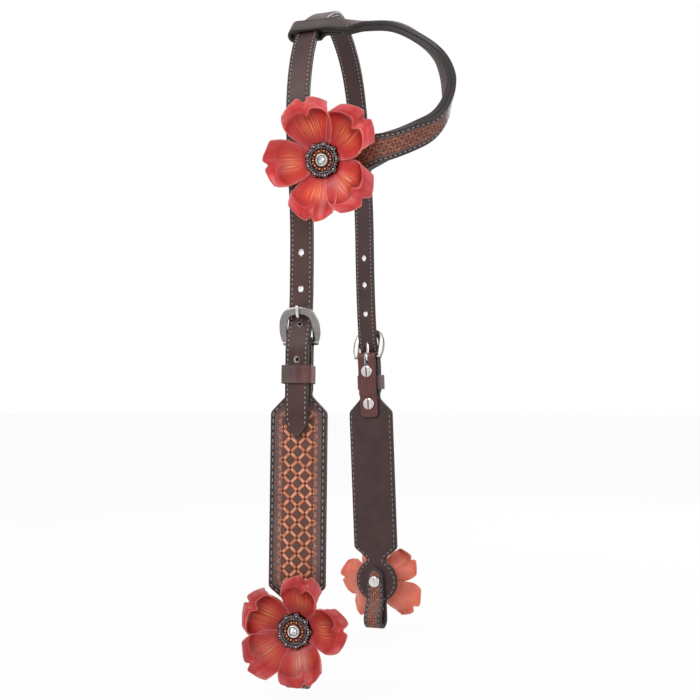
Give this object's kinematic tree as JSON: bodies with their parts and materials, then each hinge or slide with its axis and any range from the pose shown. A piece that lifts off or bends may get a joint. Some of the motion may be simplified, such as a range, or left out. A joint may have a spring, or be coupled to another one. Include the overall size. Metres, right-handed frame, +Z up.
{
  "type": "western one-ear headstall",
  "caption": "One-ear western headstall: doubled crown strap, slide ear, tooled buckled cheeks with folded bit straps, and moulded leather flowers with jewelled conchos.",
  "frame": {"origin": "on the underside of the crown strap where it rests on the horse's poll", "axes": "+Z up, +X to the horse's front, -Y to its near (left) side"},
  "size_m": [0.1397, 0.2524, 0.4804],
  "materials": {
    "dark_leather": "oiled, stitched",
    "lining_leather": "matt flesh side",
    "tooled_leather": "basket stamped, antiqued",
    "red_leather": "moulded, hand painted",
    "nickel": "polished",
    "gunmetal": "antiqued",
    "stone": "faceted, clear"
  },
  "bodies": {
    "straps": {"crown_face": "dark_leather", "crown_lining": "lining_leather", "near_cheek_face": "tooled_leather", "near_cheek_lining": "lining_leather", "near_upper_post": "nickel", "near_upper_screw": "nickel", "near_lower_post": "nickel", "near_lower_screw": "nickel", "near_concho": "gunmetal", "near_crystal": "stone", "near_bit_screw": "nickel", "far_cheek_face": "tooled_leather", "far_cheek_lining": "lining_leather", "far_upper_post": "nickel", "far_upper_screw": "nickel", "far_lower_post": "nickel", "far_lower_screw": "nickel", "far_concho": "gunmetal", "far_crystal": "stone", "far_bit_screw": "nickel"},
    "ear_piece": {"ear_face": "tooled_leather", "ear_lining": "lining_leather", "ear_concho": "gunmetal", "ear_crystal": "stone", "ear_screw": "nickel"},
    "ear_bloom": {"ear_flower": "red_leather"},
    "near_frame": {"near_buckle_frame": "nickel"},
    "near_tongue": {"near_buckle_tongue": "nickel"},
    "near_keeper_loop": {"near_keeper": "dark_leather"},
    "near_bloom": {"near_flower": "red_leather"},
    "far_frame": {"far_buckle_frame": "nickel"},
    "far_tongue": {"far_buckle_tongue": "nickel"},
    "far_keeper_loop": {"far_keeper": "dark_leather"},
    "far_bloom": {"far_flower": "red_leather"}
  },
  "joints": [
    {"name": "ear_slide_round_crown", "type": "hinge", "parent": "straps", "child": "ear_piece", "pos_m": [0, 0.01009, -0.10951], "axis": [1, 0, 0], "range_deg": [-1.5, 1.5]},
    {"name": "ear_flower_spin", "type": "hinge", "parent": "ear_piece", "child": "ear_bloom", "pos_m": [0.01813, -0.10073, -0.12533], "axis": [0, -0.9899, -0.1415], "continuous": true},
    {"name": "near_buckle_tilt", "type": "hinge", "parent": "straps", "child": "near_frame", "pos_m": [0, -0.0925, -0.245], "axis": [1, 0, 0], "range_deg": [0, 2]},
    {"name": "near_tongue_lift", "type": "hinge", "parent": "near_frame", "child": "near_tongue", "pos_m": [0, -0.0925, -0.245], "axis": [1, 0, 0], "range_deg": [0, 3]},
    {"name": "near_keeper_slide", "type": "slide", "parent": "straps", "child": "near_keeper_loop", "axis": [0, 0.0401, 0.9992], "range_m": [-0.003, 0.0004]},
    {"name": "near_flower_spin", "type": "hinge", "parent": "straps", "child": "near_bloom", "pos_m": [0, -0.10441, -0.43568], "axis": [0, -0.9992, 0.0401], "continuous": true},
    {"name": "far_buckle_tilt", "type": "hinge", "parent": "straps", "child": "far_frame", "pos_m": [0, 0.0935, -0.245], "axis": [-0.9846, 0.1736, -0.0218], "range_deg": [0, 2]},
    {"name": "far_tongue_lift", "type": "hinge", "parent": "far_frame", "child": "far_tongue", "pos_m": [0, 0.0935, -0.245], "axis": [-0.9846, 0.1736, -0.0218], "range_deg": [0, 3]},
    {"name": "far_keeper_slide", "type": "slide", "parent": "straps", "child": "far_keeper_loop", "axis": [-0.0284, -0.0357, 0.999], "range_m": [-0.003, 0.0004]},
    {"name": "far_flower_spin", "type": "hinge", "parent": "straps", "child": "far_bloom", "pos_m": [0.00617, 0.10451, -0.43563], "axis": [0.1726, 0.9842, 0.0401], "continuous": true}
  ]
}
